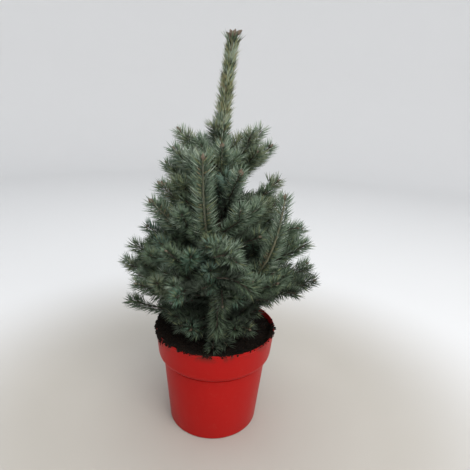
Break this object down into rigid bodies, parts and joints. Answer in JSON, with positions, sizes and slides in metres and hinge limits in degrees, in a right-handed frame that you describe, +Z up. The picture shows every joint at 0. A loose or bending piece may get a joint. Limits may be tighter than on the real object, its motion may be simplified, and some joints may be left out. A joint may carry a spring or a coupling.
{
  "type": "potted blue spruce tree",
  "caption": "Young Colorado blue spruce in a plastic nursery pot, with a trunk, bare leader, boughs and needled masses that keep to their own space.",
  "frame": {"origin": "centre of the pot's flat underside, on the surface that it stands on", "axes": "+Z up along the trunk, the viewer of the picture stands at -Y, +X to their right"},
  "size_m": [0.3348, 0.2901, 0.6658],
  "materials": {
    "red_plastic": "satin injection-moulded polypropylene, saturated red",
    "potting_soil": "moist dark peat and bark crumbs",
    "bark": "rough brown bark",
    "needles": "waxy blue-green needles",
    "bud_scales": "dry golden-brown bud scales"
  },
  "bodies": {
    "root": {"pot": "red_plastic", "soil": "potting_soil", "trunk": "bark", "leader_needles": "needles", "leader_buds": "bud_scales", "back_high": "needles", "back_left_high": "needles", "back_left_low": "needles", "back_left_middle": "needles", "back_left_wide": "needles", "back_lower_middle": "needles", "back_middle": "needles", "back_right_low": "needles", "back_right_middle": "needles", "back_right_wide": "needles", "back_wide": "needles", "bough_back_left_wide": "bark", "bough_back_right_wide": "bark", "bough_front_upright": "bark", "bough_left_wide": "bark", "bough_right_front_upright": "bark", "bough_right_lower_middle": "bark", "bough_right_middle": "bark", "bough_right_reach": "bark", "bough_right_wide": "bark", "front_high": "needles", "front_left_low": "needles", "front_left_middle": "needles", "front_left_wide": "needles", "front_low": "needles", "front_middle": "needles", "front_right_low": "needles", "front_right_wide": "needles", "front_upright": "needles", "front_wide": "needles", "left_front_wide": "needles", "left_high": "needles", "left_low": "needles", "left_lower_middle": "needles", "left_middle": "needles", "left_reach": "needles", "left_upper_middle": "needles", "left_wide": "needles", "right_front_upright": "needles", "right_high": "needles", "right_low": "needles", "right_lower_middle": "needles", "right_middle": "needles", "right_reach": "needles", "right_upper_middle": "needles", "right_wide": "needles", "top_left": "needles", "top_right": "needles", "upper_back": "needles", "upper_front": "needles", "upper_left": "needles", "upper_left_front": "needles", "upper_left_inner": "needles", "upper_right": "needles", "upper_right_side": "needles"}
  },
  "joints": []
}
